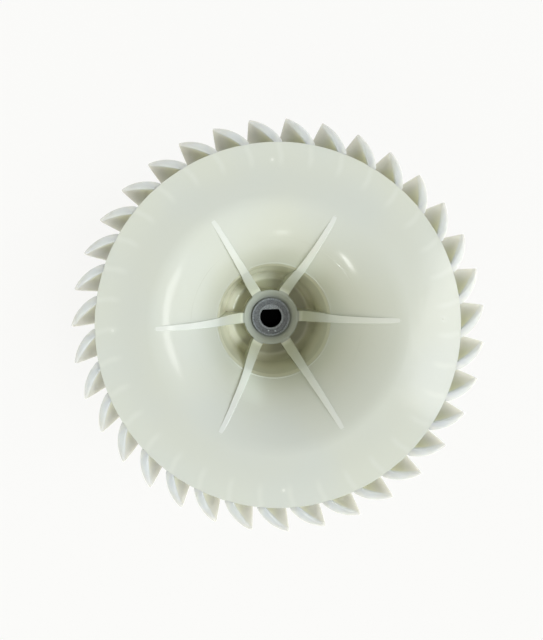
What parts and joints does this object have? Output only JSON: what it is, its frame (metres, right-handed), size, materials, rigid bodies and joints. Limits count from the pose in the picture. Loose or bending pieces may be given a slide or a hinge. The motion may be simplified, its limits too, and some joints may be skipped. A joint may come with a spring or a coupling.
{
  "type": "dryer blower wheel",
  "caption": "Centrifugal fan wheel for a tumble dryer: a dished back disc with a ribbed hub, crescent blades round its edge, a front ring and a cast metal bush with a D-shaped hole.",
  "frame": {"origin": "centre of the front ring's lower face, on the wheel's axis", "axes": "+Z along the wheel's axis from the front (intake) ring to the back disc, +X along one of the ribs; the flat of the D-shaped hole faces +Y"},
  "size_m": [0.192, 0.192, 0.072],
  "materials": {
    "plastic": "satin",
    "cast_metal": "cast"
  },
  "bodies": {
    "root": {"blower_wheel": "plastic", "hub_insert": "cast_metal"}
  },
  "joints": []
}
